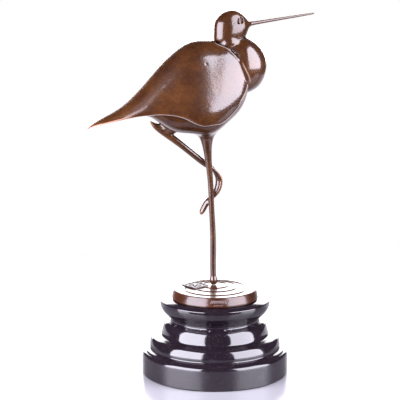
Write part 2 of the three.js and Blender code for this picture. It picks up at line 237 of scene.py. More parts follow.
def pillow_skin(widest, half_width, outline):
    """A rounded form with a given side outline and half width, fullest at one place."""
    along, turn = lattice(160, 100)
    edge = smooth_line(outline, closed=True)(turn / (2 * math.pi))
    reach = np.sin(math.pi * along)
    grid = np.empty((*reach.shape, 3))
    grid[..., 0] = widest[0] + (edge[..., 0] - widest[0]) * reach
    grid[..., 1] = BIRD_Y + half_width * np.cos(math.pi * along)
    grid[..., 2] = widest[1] + (edge[..., 1] - widest[1]) * reach
    return skin(grid)


def limb_skin(places):
    """Elliptical rings that follow a line through the given places."""
    line = smooth_line([(x, y + BIRD_Y, z) for x, y, z, _, _, _ in places])
    section = smooth_line([place[3:] for place in places])
    along, turn = lattice(48, 40 * len(places))
    tangent = line(np.clip(along + 0.001, 0, 1)) - line(np.clip(along - 0.001, 0, 1))
    tangent /= np.linalg.norm(tangent, axis=-1, keepdims=True)
    side = np.array([0, 1, 0]) - tangent * tangent[..., 1:2]
    side /= np.linalg.norm(side, axis=-1, keepdims=True)
    up = np.cross(side, tangent)
    thick, wide, twist = np.moveaxis(section(along), -1, 0)
    twist = np.radians(twist)[..., None]
    side, up = side * np.cos(twist) + up * np.sin(twist), up * np.cos(twist) - side * np.sin(twist)
    round_end = np.sqrt(np.clip(np.minimum(along, 1 - along) * 60, 0, 1))
    return skin(
        line(along)
        + up * (np.maximum(thick, 0.2) * round_end * np.cos(turn))[..., None]
        + side * (np.maximum(wide, 0.2) * round_end * np.sin(turn))[..., None]
    )


def bill_radius(along):
    profile = smooth_line(BILL_RADII)(np.linspace(0, 1, 400))
    return np.interp(along, profile[:, 0], profile[:, 1])


def bill_skin():
    """Round rings along the bill, from inside the head to the tip."""
    root = np.array((BILL_ROOT[0], BIRD_Y, BILL_ROOT[1]))
    tip = np.array((BILL_TIP[0], BIRD_Y, BILL_TIP[1]))
    length = np.linalg.norm(tip - root)
    ahead = (tip - root) / length
    up = np.cross(ahead, (0, 1, 0))
    along, turn = lattice(32, 220)
    across = bill_radius(along * length) * (np.minimum(along, 1 - along) > 1e-9)
    return skin(
        root
        + ahead * (along * length)[..., None]
        - up * (across * np.cos(turn))[..., None]
        + np.array([0, 1, 0]) * (across * np.sin(turn))[..., None]
    )


# The space that the bird is cast in, and how far from its surface the distances are kept
MOULD_LOW = (-128.5, BIRD_Y - 36, 85)
MOULD_HIGH = (106, BIRD_Y + 36, 360)
MOULD_REACH = 6.5


# Casting: forms joined and cut on a lattice of distances, so that they can melt into each other
class Casting:
    """Distances in millimetres to the surface, on a regular lattice: below zero is metal."""

    def __init__(self, step):
        self.step = step
        self.margin = int(math.ceil(MOULD_REACH / step)) + 1
        self.start = np.floor(np.array(MOULD_LOW) / step).astype(int) - self.margin
        end = np.ceil(np.array(MOULD_HIGH) / step).astype(int) + self.margin
        self.values = np.full(end - self.start, MOULD_REACH, np.float32)

    def distances(self, points, quads):
        """The part of the lattice round a closed skin, as slices, and the distances in it."""
        placed = openvdb.createLinearTransform(voxelSize=self.step)
        grid = openvdb.FloatGrid.createLevelSetFromPolygons(
            points.astype(np.float32), quads=quads.astype(np.uint32),
            transform=placed, halfWidth=MOULD_REACH / self.step)
        low = np.maximum(np.floor(points.min(0) / self.step).astype(int) - self.margin, self.start)
        high = np.ceil(points.max(0) / self.step).astype(int) + self.margin
        high = np.minimum(high, self.start + self.values.shape)
        found = np.empty(high - low, np.float32)
        grid.copyToArray(found, ijk=tuple(int(n) for n in low))
        return tuple(slice(a, b) for a, b in zip(low - self.start, high - self.start)), found

    def join(self, form, melt):
        """Adds a form and fills the crease round it over a length in millimetres."""
        where, found = form
        self.values[where] = softer_min(self.values[where], found, melt)

    def trim(self, side, melt):
        """Keeps what lies within a side outline, given by its distances in the middle plane."""
        self.values = -softer_min(-self.values, -side[:, None, :], melt)

    def emboss(self, rise):
        """Lifts the surface by a height for each place in the side view."""
        self.values -= rise[:, None, :]

    def axis(self, which):
        count = self.values.shape[which]
        return (self.start[which] + np.arange(count)) * self.step

    def soften(self):
        for which in range(3):
            v = self.values
            ahead = np.roll(v, -1, which)
            behind = np.roll(v, 1, which)
            self.values = (2 * v + ahead + behind) / 4

    def skin(self):
        placed = openvdb.createLinearTransform(voxelSize=self.step)
        grid = openvdb.FloatGrid(MOULD_REACH)
        grid.copyFromArray(self.values, ijk=tuple(int(n) for n in self.start))
        grid.transform = placed
        grid.gridClass = openvdb.GridClass.LEVEL_SET
        return grid.convertToPolygons(isovalue=0.0, adaptivity=0.0)


def softer_min(a, b, melt):
    """The nearer of two surfaces, with the crease between them filled over the given length."""
    if melt <= 0:
        return np.minimum(a, b)
    share = np.clip(melt - np.abs(a - b), 0, None) / melt
    return np.minimum(a, b) - share * share * (melt / 4)


def outline_distance(outline, across, up):
    """Distances in a plane to a closed outline, below zero inside it."""
    x, z = np.meshgrid(across, up, indexing="ij")
    closed = np.vstack([outline, outline[:1]])
    inside = np.zeros(x.shape, bool)
    for (ax, az), (bx, bz) in zip(closed, closed[1:]):
        crosses = (az > z) != (bz > z)
        inside ^= crosses & (x < ax + (z - az) * (bx - ax) / (bz - az or 1e-12))
    nearest = line_distance(closed, x, z)
    return np.where(inside, -nearest, nearest)


def line_distance(line, x, z):
    """Distances of places of the side view to an open line."""
    nearest = np.full(x.shape, 1e9)
    for (ax, az), (bx, bz) in zip(line, line[1:]):
        dx, dz = bx - ax, bz - az
        share = np.clip(((x - ax) * dx + (z - az) * dz) / (dx * dx + dz * dz + 1e-12), 0, 1)
        nearest = np.minimum(nearest, np.hypot(x - ax - share * dx, z - az - share * dz))
    return nearest


def wing_outline():
    lower = smooth_line(WING_LOWER_EDGE)(np.linspace(0, 1, 240))
    lip = smooth_line(WING_FRONT_LIP)(np.linspace(0, 1, 260))
    return np.vstack([lower, lip[1:], ABOVE_THE_BACK])


def grown(form, thickness):
    where, found = form
    return where, found - thickness


def turned(x, y, turn):
    c, s = math.cos(turn), math.sin(turn)
    return x * c - y * s, x * s + y * c


def head_turned(form, turn):
    """A form of the head, turned about the neck."""
    points, quads = form
    x, y = turned(points[:, 0] - HEAD_TURN_X, points[:, 1] - BIRD_Y, turn)
    return np.column_stack([HEAD_TURN_X + x, BIRD_Y + y, points[:, 2]]), quads


def cut_eyes(casting, turn):
    """Sinks the lid crease, the pupil and the front corner of each eye into the side of the head."""
    up = casting.axis(2)
    first = int(np.searchsorted(up, EYE_BASE))
    x, y = np.meshgrid(casting.axis(0) - HEAD_TURN_X, casting.axis(1) - BIRD_Y, indexing="ij")
    along = HEAD_TURN_X + turned(x, y, -turn)[0]
    spots = np.linspace(8, 30, 221)
    relief = 0
    for corners, depth in EYE_CUTS:
        away = outline_distance(corners, spots, up[first:])
        relief = relief - depth * np.clip(0.5 - away / EYE_EDGE, 0, 1)
    near = np.clip(np.rint((along - spots[0]) / (spots[1] - spots[0])), 0, len(spots) - 1).astype(int)
    casting.values[:, :, first:] -= relief[near].astype(np.float32)


def cast_bird(step, sizes):
    """The whole bird as one casting: wings, belly, crop, neck, head, bill, eyes and legs."""
    turn = sidebar_angle(sizes.head_turn)
    casting = Casting(step)
    across, up = casting.axis(0), casting.axis(2)
    trunk = casting.distances(*hull_skin(**TRUNK))
    neck = casting.distances(*limb_skin(NECK))
    crop = casting.distances(*pillow_skin(**CROP))
    casting.join(trunk, 0)
    casting.join(grown(neck, 1), 4)
    # The wings end at their lip, with a bead along it
    side = outline_distance(wing_outline(), across, up).astype(np.float32)
    bead = np.clip(1 - ((-side - LIP_WIDTH / 2) / (LIP_WIDTH / 2)) ** 2, 0, 1)
    casting.emboss(sidebar_length(sizes.lip_rise) * bead)
    casting.trim(side, 1.4)
    # The breast is set in under the wings, and the neck and the crop stand in front of it
    breast = Casting(step)
    breast.join(grown(trunk, -sidebar_length(sizes.wing_step)), 0)
    x, z = np.meshgrid(across, up, indexing="ij")
    breast.trim((z - BREAST_TOP).astype(np.float32), 6)
    casting.join((slice(None), breast.values), 1.2)
    front = Casting(step)
    front.join(neck, 0)
    front.join(crop, 4)
    casting.join((slice(None), front.values), 0.8)
    del front, breast, side, bead, trunk, neck, crop
    casting.join(casting.distances(*head_turned(hull_skin(**HEAD), turn)), 1.2)
    casting.join(casting.distances(*head_turned(bill_skin(), turn)), 5)
    for limb, melt in ((STANDING_LEG, 6), (FOLDED_THIGH, 4), (FOLDED_SHANK, 1.6), (FOLDED_FOOT, 2)):
        casting.join(casting.distances(*limb_skin(limb)), melt)
    cut_eyes(casting, turn)
    for dent_x, dent_z, radius, depth in DENTS:
        off = np.hypot(x - dent_x, z - dent_z) / radius
        casting.emboss((-depth * np.clip(1 - off * off, 0, 1) ** 2).astype(np.float32))
    casting.soften()
    return casting


MOST_TRIANGLES = 180000


def casting_mesh(name, casting, sizes):
    """A mesh of the casting's surface, thinned to a limit, with normals from the casting itself."""
    points, triangles, quads = casting.skin()
    mesh = bpy.data.meshes.new(name)
    faces = [face[::-1] for face in quads.tolist()] + [face[::-1] for face in triangles.tolist()]
    mesh.from_pydata((points * MM).tolist(), [], faces)
    thick = bpy.data.objects.new(name, mesh)
    bpy.context.scene.collection.objects.link(thick)
    amount = 2 * len(quads) + len(triangles)
    if amount > MOST_TRIANGLES:
        thinner = thick.modifiers.new("thinner", "DECIMATE")
        thinner.ratio = MOST_TRIANGLES / amount
        depsgraph = bpy.context.evaluated_depsgraph_get()
        mesh = bpy.data.meshes.new_from_object(thick.evaluated_get(depsgraph))
        bpy.data.meshes.remove(thick.data)
        mesh.name = name
    else:
        bpy.data.objects.remove(thick)
    keep_casting_normals(mesh, casting, sizes)
    return mesh


def keep_casting_normals(mesh, casting, sizes):
    """Gives the mesh the casting's own normals, trues its bill and turns it on its foot."""
    corners = np.empty(len(mesh.vertices) * 3)
    mesh.vertices.foreach_get("co", corners)
    places = corners.reshape(-1, 3) / MM / casting.step - casting.start
    normals = np.empty_like(places)
    for which in range(3):
        reach = np.zeros(3)
        reach[which] = 0.75
        normals[:, which] = between(casting.values, places + reach) - between(casting.values, places - reach)
    normals /= np.linalg.norm(normals, axis=1, keepdims=True) + 1e-12
    keep_hollows(mesh, casting, places)
    points, normals = true_bill(corners.reshape(-1, 3) / MM, normals, sidebar_angle(sizes.head_turn))
    turn = sidebar_angle(sizes.bird_turn)
    foot = np.array((BIRD_FOOT_X, BIRD_Y, 0)) * MM
    points = points * MM - foot
    points[:, 0], points[:, 1] = turned(points[:, 0], points[:, 1], turn)
    normals[:, 0], normals[:, 1] = turned(normals[:, 0], normals[:, 1], turn)
    mesh.vertices.foreach_set("co", (points + foot).ravel())
    mesh.shade_smooth()
    mesh.normals_split_custom_set_from_vertices(normals.tolist())


def true_bill(points, normals, turn):
    """Puts the points of the slim bill, past its root, exactly on their round section."""
    ends = np.array([(x, BIRD_Y, z) for x, z in (BILL_ROOT, BILL_TIP)])
    root, tip = head_turned((ends, None), turn)[0]
    ahead = (tip - root) / np.linalg.norm(tip - root)
    along = (points - root) @ ahead
    out = points - root - along[:, None] * ahead
    reach = np.linalg.norm(out, axis=1, keepdims=True) + 1e-9
    share = np.clip((along - 11) / 5, 0, 1) * (along < BILL_RADII[-1][0] - 0.4)
    share = share[:, None] * (reach < 4)
    points = points + share * (out / reach * bill_radius(along)[:, None] - out)
    normals = normals * (1 - share) + out / reach * share
    return points, normals / np.linalg.norm(normals, axis=1, keepdims=True)


def keep_hollows(mesh, casting, places):
    """Keeps what the bronze needs at each point.

    How hollow the metal is, above zero in a crease and below zero on an edge, and how much the point
    belongs to the slim bill and to the lip of the wing.
    """
    count = 40
    turn = np.arange(count) * math.pi * (3 - math.sqrt(5))
    height = 1 - (2 * np.arange(count) + 1) / count
    level = np.sqrt(1 - height * height)
    around = np.column_stack([np.cos(turn) * level, np.sin(turn) * level, height])
    radius = HOLLOW_REACH / casting.step
    total = sum(between(casting.values, places + way * radius) for way in around)
    points = (places + casting.start) * casting.step
    bill = np.clip((points[:, 0] - BILL_ROOT[0] - 4) / 4, 0, 1) * (points[:, 2] > HEAD_BASE)
    hollow = mesh.attributes.new("hollow", "FLOAT", "POINT")
    hollow.data.foreach_set("value", (-total / count / HOLLOW_REACH * (1 - bill)).astype(np.float32))
    slim = mesh.attributes.new("slim", "FLOAT", "POINT")
    slim.data.foreach_set("value", bill.astype(np.float32))
    away = line_distance(wing_outline()[:-len(ABOVE_THE_BACK)], points[:, 0], points[:, 2])
    lip = mesh.attributes.new("lip", "FLOAT", "POINT")
    lip.data.foreach_set("value", np.clip(1.5 - away / 0.55, 0, 1).astype(np.float32))


def between(values, places):
    """Values between the lattice points."""
    cell = np.clip(np.floor(places).astype(int), 0, np.array(values.shape) - 2)
    x, y, z = (places - cell).T
    i, j, k = cell.T
    total = 0
    for a, wx in ((0, 1 - x), (1, x)):
        for b, wy in ((0, 1 - y), (1, y)):
            for c, wz in ((0, 1 - z), (1, z)):
                total = total + values[i + a, j + b, k + c] * wx * wy * wz
    return total


# Turned marble plinth: radius and height from the underside up, smooth within a bracket and
# straight from one bracket to the next
PLINTH_OUTLINE = (
    ((71.5, 0),),
    ((72.5, 1.2),),
    ((72.5, 19.6), (72.2, 21.6), (71, 23.2), (69, 24.3)),
    ((68.6, 25.1),),
    ((65.2, 26.3),),
    ((64.8, 27), (65.1, 29.4), (64.6, 32), (63.6, 34.6), (62.2, 36.8), (60.4, 37.8), (58, 38.5)),
    ((55.6, 39.3), (53.7, 40.1), (52.6, 42.4), (51.9, 45.6), (50.9, 48.8), (49.4, 51.4), (47.4, 53.2)),
    ((45.2, 53.6),),
    ((44.6, 54.6),),
    ((44.6, 57),),
    ((45.6, 57.4),),
    ((45.8, 58.6),),
    ((47.4, 59.4), (50, 61.6), (52.4, 64.6), (54, 68), (54.6, 71.4)),
    ((54.5, 74.2),),
    ((53.6, 75),),
)


PLINTH_SPACING = 0.9
PLINTH_AROUND = 256


def turned_outline(stretches, spacing):
    """Points along a turned outline: smooth within a stretch and straight between stretches."""
    line = []
    for stretch in stretches:
        if len(stretch) == 1:
            line.append(np.array(stretch, float))
        else:
            rough = sum(math.dist(a, b) for a, b in zip(stretch, stretch[1:]))
            line.append(smooth_line(stretch)(np.linspace(0, 1, int(rough / spacing) + 2)))
    line = np.vstack(line)
    lengths = np.concatenate([[0], np.cumsum(np.hypot(*np.diff(line, axis=0).T))])
    even = np.linspace(0, lengths[-1], int(lengths[-1] / spacing) + 1)
    places = np.unique(np.round(np.concatenate([even, lengths]), 3))
    places = places[np.concatenate([[True], np.diff(places) > spacing / 4])]
    return np.column_stack([np.interp(places, lengths, line[:, 0]), np.interp(places, lengths, line[:, 1])])


def turned_rings(line, around):
    """Rings of a turned body from radius and height pairs."""
    turn = np.linspace(0, 2 * math.pi, around, endpoint=False)
    rings = np.empty((len(line), around, 3))
    rings[..., 0] = line[:, :1] * np.cos(turn)
    rings[..., 1] = line[:, :1] * np.sin(turn)
    rings[..., 2] = line[:, 1:]
    return rings


def mesh_from_rings(name, rings):
    """A body from rings of points in millimetres, closed by a point in the middle of each end."""
    count, around = rings.shape[:2]
    points = [*rings.reshape(-1, 3), rings[0].mean(0), rings[-1].mean(0)]
    faces = skin(rings)[1].tolist()
    low, high = count * around, count * around + 1
    for j in range(around):
        k = (j + 1) % around
        faces.append((k, j, low))
        faces.append(((count - 1) * around + j, (count - 1) * around + k, high))
    mesh = bpy.data.meshes.new(name)
    mesh.from_pydata([tuple(point * MM) for point in np.array(points)], [], faces)
    mesh.shade_smooth()
    return mesh


# Bronze disc: how far its rim comes in from the full radius, with the height there
DISC_RIM = ((1.2, 0), (0.3, 0.7), (0, 2), (0.5, 4.2), (1.3, 6.6), (2.1, 8.8), (2.7, 9.7), (3.8, 10))
# Rings of water: the radius of each, and how far back from the disc's middle it lies
RIPPLES = ((13, 11), (22, 6), (31, 0))
# Points round the disc, points up its rim, and rings across its top
DISC_AROUND = 800
DISC_RIM_POINTS = 44
DISC_TOP_RINGS = 76


def ripple_rise(x, y, sizes):
    """How far each place of the disc's top is lifted by the rings of water."""
    rise = np.zeros(x.shape)
    half = sidebar_length(sizes.ripple_width) / 2
    for radius, middle in RIPPLES:
        off = np.abs(np.hypot(x, y - middle) - radius) / half
        rise = np.maximum(rise, np.cos(np.clip(off, 0, 1) * math.pi / 2) ** 2)
    return rise * sidebar_length(sizes.ripple_height)


# Rows of shallow slanted strokes cut in the rim: first and last angle from the front, height and length
STROKE_ROWS = ((-6, 20, 6.4, 2.6), (-1.5, 14, 3, 1.4))
STROKE_PITCH = 1.7
STROKE_WIDTH = 0.8
STROKE_LEAN = 0.5


def stroke_cut(rings):
    """How much of their full depth the strokes have at each point of the rim."""
    angle = np.degrees(np.arctan2(rings[..., 0], -rings[..., 1]))
    height = rings[..., 2] - DISC_LOW[2]
    deep = np.zeros(angle.shape)
    for first, last, middle, length in STROKE_ROWS:
        step = math.degrees(STROKE_PITCH / DISC_RADIUS)
        for i in range(int((last - first) / step)):
            across = np.radians(angle - first - i * step) * DISC_RADIUS - STROKE_LEAN * (height - middle)
            row = np.abs(height - middle) < length / 2
            deep = np.maximum(deep, row * np.clip(1 - (2 * across / STROKE_WIDTH) ** 2, 0, 1))
    return deep


def disc_mesh(name, sizes):
    """The disc, with strokes cut in its rim and rings of water on its top."""
    rim = smooth_line(DISC_RIM)(np.linspace(0, 1, DISC_RIM_POINTS))
    inner = DISC_RADIUS - DISC_RIM[-1][0]
    radii = np.linspace(inner, 0.6, DISC_TOP_RINGS)[1:]
    line = np.vstack([
        np.column_stack([DISC_RADIUS - rim[:, 0], DISC_LOW[2] + rim[:, 1]]),
        np.column_stack([radii, np.full(len(radii), DISC_LOW[2] + DISC_HEIGHT)]),
    ])
    rings = turned_rings(line, DISC_AROUND)
    flat = np.clip((inner + 1 - line[:, :1]) / 3, 0, 1)
    rings[..., 2] += ripple_rise(rings[..., 0], rings[..., 1], sizes) * flat
    out = np.hypot(rings[..., 0], rings[..., 1])
    deep = sidebar_length(sizes.stroke_depth) * stroke_cut(rings)
    shrink = 1 - deep * (out > inner) / np.maximum(out, 1)
    rings[..., :2] *= shrink[..., None]
    return mesh_from_rings(name, rings)


# Seal plaque let into the ripples beside the foot, with a flower of eight petals round a boss.
# The flower's reach and the worn edge are in millimetres, and the petals' height is a share of the relief
PLATE = {"thickness": 1.3, "border": 1.4, "middle": (-19.7, 7.4)}
PLATE_POINTS = 120
PETALS = {"count": 8, "from": 2.6, "to": 6.6, "height": 0.8}
BOSS_RADIUS = 2.1
RELIEF_EDGE = 0.5
WORN_EDGE = 0.35


def plaque_mesh(name, sizes):
    """A square plate with a raised border, petals and boss, and an edge that is worn round."""
    relief = sidebar_length(sizes.plaque_relief)
    half = sidebar_length(sizes.plaque_side) / 2
    count = PLATE_POINTS
    spots = np.linspace(-half, half, count)
    u, v = np.meshgrid(spots, spots, indexing="ij")
    edge = half - np.maximum(np.abs(u), np.abs(v))
    height = np.full(u.shape, PLATE["thickness"] - relief)
    border = np.clip((PLATE["border"] - edge) / 0.3 + 0.5, 0, 1)
    reach = np.hypot(u, v)
    angle = np.arctan2(v, u)
    rays = 0.5 + 0.5 * np.cos(PETALS["count"] * angle)
    outer = np.clip((PETALS["to"] - reach) / RELIEF_EDGE, 0, 1)
    inner = np.clip((reach - PETALS["from"]) / RELIEF_EDGE, 0, 1)
    petals = outer * inner * np.clip((rays - 0.35) * 4, 0, 1) * PETALS["height"]
    boss = np.clip((BOSS_RADIUS - reach) / RELIEF_EDGE, 0, 1)
    height += relief * np.maximum(np.maximum(border, petals), boss)
    height -= WORN_EDGE * np.clip(1 - edge / WORN_EDGE, 0, 1) ** 2
    x, y = turned(u, v, sidebar_angle(sizes.plaque_turn))
    x, y = x + PLATE["middle"][0], y + PLATE["middle"][1]
    top = np.stack([x, y, PLATE_BASE + height], -1).reshape(-1, 3)
    low = np.stack([x, y, np.full(x.shape, PLATE_BASE)], -1).reshape(-1, 3)
    points = np.vstack([top, low]) * MM
    index = np.arange(count * count).reshape(count, count)
    faces = np.stack([index[:-1, :-1], index[1:, :-1], index[1:, 1:], index[:-1, 1:]], -1).reshape(-1, 4)
    under = faces[:, ::-1] + count * count
    loop = np.concatenate([index[:-1, 0], index[-1, :-1], index[:0:-1, -1], index[0, :0:-1]])
    after = np.roll(loop, -1)
    sides = np.stack([after, loop, loop + count * count, after + count * count], -1)
    mesh = bpy.data.meshes.new(name)
    mesh.from_pydata(points.tolist(), [], np.vstack([faces, under, sides]).tolist())
    mesh.shade_smooth()
    mesh.set_sharp_from_angle(angle=math.radians(50))
    return mesh


# Materials
def linear(hex_colour):
    """An sRGB colour such as 6b4427 as linear values with alpha."""
    parts = [int(hex_colour[i:i + 2], 16) / 255 for i in (0, 2, 4)]
    return tuple(c / 12.92 if c <= 0.04045 else ((c + 0.055) / 1.055) ** 2.4 for c in parts) + (1,)


def node(tree, kind, inputs=None, **settings):
    """Adds a node with its settings. An input is linked to a node or its output, or takes a value."""
    made = tree.nodes.new(kind)
    for key, value in settings.items():
        setattr(made, key, value)
    for key, value in (inputs or {}).items():
        if isinstance(value, bpy.types.Node):
            value = value.outputs[0]
        if isinstance(value, bpy.types.NodeSocket):
            tree.links.new(value, made.inputs[key])
        else:
            made.inputs[key].default_value = value
    return made


def new_material(name):
    material = bpy.data.materials.new(name)
    material.use_nodes = True
    material.node_tree.nodes.clear()
    return material, material.node_tree


def set_stops(ramp, stops):
    """Gives a colour ramp its places and colours."""
    points = ramp.color_ramp.elements
    while len(points) < len(stops):
        points.new(0.5)
    for point, (place, colour) in zip(points, stops):
        point.position = place
        point.color = colour


# Where from the tail forward the wax comes to its full weight, and where up the neck it gets thinner,
# in metres
DULL_TAIL = (-0.065, -0.03)
THIN_CROWN = (0.325, 0.335)


def patinated_bronze(name, colours, roughness, gloss, wax, finish, worn=0.0, dull=1.0):
    """Cast bronze, hot patinated and waxed: a warm brown oxide under a thin clear wax.

    The oxide hides the metal, so the eye sees a deep matt brown with the wax's gloss on it, and the
    shine of metal on the rubbed lip alone.
    """
    material, tree = new_material(name)
    place = node(tree, "ShaderNodeTexCoord").outputs["Object"]
    # Clouds and mottle of the patina, fine grain and hammered hollows of the metal. Each has its size
    # in millimetres, detail and roughness, and the grain is drawn coarser than the real one so that it shows
    clouds, mottle, grain, hammered = (
        node(tree, "ShaderNodeTexNoise", {"Vector": place, "Scale": 1 / (size * MM), "Detail": detail,
              "Roughness": rough}).outputs["Fac"]
        for size, detail, rough in ((24, 5, 0.6), (3, 4, 0.7), (1.6, 3, 0.6), (7, 2, 0.5)))
    mixed = node(tree, "ShaderNodeMath", {0: mottle, 2: clouds, 1: 0.45}, operation="MULTIPLY_ADD")
    colour = node(tree, "ShaderNodeValToRGB", {"Fac": mixed})
    set_stops(colour, tuple(zip((0.45, 0.72, 1.0), colours)))
    # The polisher's cloth wears the brown off the edges and leaves dark wax in the creases, and the creases
    # are also darkened as painted shade
    hollow = node(tree, "ShaderNodeAttribute", attribute_name="hollow").outputs["Fac"]
    crease = node(tree, "ShaderNodeMapRange", {"Value": hollow, "From Min": 0.05, "From Max": 0.2})
    edge = node(tree, "ShaderNodeMapRange", {"Value": hollow, "From Min": -0.16, "From Max": -0.36,
                 "To Max": worn})
    waxed = node(tree, "ShaderNodeMix", {0: crease, 6: colour, 7: finish.crease_wax_and_shade}, data_type="RGBA")
    rubbed = node(tree, "ShaderNodeMix", {0: edge, 6: waxed.outputs[2], 7: finish.rubbed_edge},
                  data_type="RGBA")
    # The lip of the wing is rubbed through to bright metal
    lip = node(tree, "ShaderNodeAttribute", attribute_name="lip").outputs["Fac"]
    raised = node(tree, "ShaderNodeMapRange", {"Value": hollow, "From Min": 0, "From Max": -0.12})
    bare = node(tree, "ShaderNodeMath", {0: lip, 1: raised}, operation="MULTIPLY")
    bared = node(tree, "ShaderNodeMix", {0: bare, 6: rubbed.outputs[2], 7: finish.bare_lip},
                 data_type="RGBA")
    metal = node(tree, "ShaderNodeMapRange", {"Value": bare, "To Min": 0.15, "To Max": 0.9})
    slim = node(tree, "ShaderNodeAttribute", attribute_name="slim").outputs["Fac"]
    rough = node(tree, "ShaderNodeMapRange", {"Value": slim, "To Min": 0.22, "To Max": 0.02})
    fine = node(tree, "ShaderNodeBump", {"Height": grain, "Strength": rough, "Distance": 0.2 * MM})
    bump = node(tree, "ShaderNodeBump", {"Height": hammered, "Normal": fine, "Strength": 0.25,
                 "Distance": 0.25 * MM})
    # The wax is thick and bright on the breast, and thin and dull toward the tail and in the creases
    parts = node(tree, "ShaderNodeSeparateXYZ", {0: place}).outputs
    tail = node(tree, "ShaderNodeMapRange", {"Value": parts["X"], "From Min": DULL_TAIL[0],
                 "From Max": DULL_TAIL[1], "To Min": dull * wax, "To Max": wax})
    crown = node(tree, "ShaderNodeMapRange", {"Value": parts["Z"], "To Min": tail,
                  "From Min": THIN_CROWN[0], "From Max": THIN_CROWN[1], "To Max": 0.72 * wax})
    shine = node(tree, "ShaderNodeMapRange", {"Value": crease, "To Min": crown, "To Max": 0.1})
    shader = node(tree, "ShaderNodeBsdfPrincipled", {"Base Color": bared.outputs[2], "Normal": bump,
                   "Coat Normal": bump, "Coat Weight": shine, "Metallic": metal, "Roughness": roughness,
                   "Specular IOR Level": 0.15, "Coat Roughness": gloss, "Coat IOR": 1.5})
    node(tree, "ShaderNodeOutputMaterial", {"Surface": shader})
    return material


# Arrises of the plinth that have small knocks, in millimetres: height, and how far up and down they
# reach. The last value is how rare they are
CHIPPED_ARRISES = ((53.9, 0.9, 0.6), (25.6, 0.7, 0.68), (23.2, 0.8, 0.72), (74.6, 0.5, 0.72))
# The height where the honed side of the drum gives way to the polish, in metres
HONED_TO = (0.0195, 0.0215)


def black_marble(name, finish):
    """Polished black marble: near black with faint grey flecks, a hard gloss and pale knocks."""
    material, tree = new_material(name)
    place = node(tree, "ShaderNodeTexCoord").outputs["Object"]
    height = node(tree, "ShaderNodeSeparateXYZ", {0: place}).outputs["Z"]
    # Clouds of the stone, knocks on its arrises and the slow waves that polishing leaves. Each has its
    # size in millimetres, detail and roughness
    clouds, knocks, waves = (
        node(tree, "ShaderNodeTexNoise", {"Vector": place, "Scale": 1 / (size * MM), "Detail": detail,
              "Roughness": rough}).outputs["Fac"]
        for size, detail, rough in ((9, 6, 0.7), (5, 4, 0.75), (6, 2, 0.5)))
    colour = node(tree, "ShaderNodeValToRGB", {"Fac": clouds})
    set_stops(colour, ((0.3, finish.marble_dark), (0.6, finish.marble_black), (0.8, finish.marble_cloud)))
    flecks = node(tree, "ShaderNodeTexVoronoi", {"Vector": place, "Scale": 1 / (2.2 * MM)})
    fleck = node(tree, "ShaderNodeMapRange", {"Value": flecks, "From Min": 0.16, "From Max": 0.1,
                  "To Max": 0.35})
    flecked = node(tree, "ShaderNodeMix", {0: fleck, 6: colour, 7: finish.marble_fleck}, data_type="RGBA")
    chipped = None
    for middle, reach, rare in CHIPPED_ARRISES:
        near = node(tree, "ShaderNodeMath", {0: height, 1: middle * MM, 2: reach * MM}, operation="COMPARE")
        knock = node(tree, "ShaderNodeMath", {0: knocks, 1: rare}, operation="GREATER_THAN")
        both = node(tree, "ShaderNodeMath", {0: near, 1: knock}, operation="MULTIPLY")
        if chipped:
            both = node(tree, "ShaderNodeMath", {0: chipped, 1: both}, operation="MAXIMUM")
        chipped = both.outputs[0]
    final = node(tree, "ShaderNodeMix", {0: chipped, 6: flecked.outputs[2], 7: finish.marble_chip},
                 data_type="RGBA")
    # The side of the drum is only honed, so that it mirrors softly
    honed = node(tree, "ShaderNodeMapRange", {"Value": height, "From Min": HONED_TO[0],
                  "From Max": HONED_TO[1], "To Min": 0.27, "To Max": 0.1})
    scuffed = node(tree, "ShaderNodeMath", {0: chipped, 2: honed, 1: 0.5}, operation="MULTIPLY_ADD")
    bump = node(tree, "ShaderNodeBump", {"Height": waves, "Strength": 0.2, "Distance": 0.2 * MM})
    shader = node(tree, "ShaderNodeBsdfPrincipled", {"Base Color": final.outputs[2], "Roughness": scuffed,
                   "Normal": bump, "Metallic": 0, "IOR": 1.52})
    node(tree, "ShaderNodeOutputMaterial", {"Surface": shader})
    return material


# The board shades off to white this far from the sculpture, in metres. In what the metal mirrors it
# is a table in a dim room: half its width, how far it comes forward, and where its back begins to glow
# as painted light
SHADED = (0.28, 0.52)
TABLE_REACH = 0.7
TABLE_FRONT = 0.24
GLOWING_BACK_FROM = (0.1, 0.2)
ROOM_COLOUR = (0.9, 0.84, 1, 1)
ROOM_GLOW = 0.1


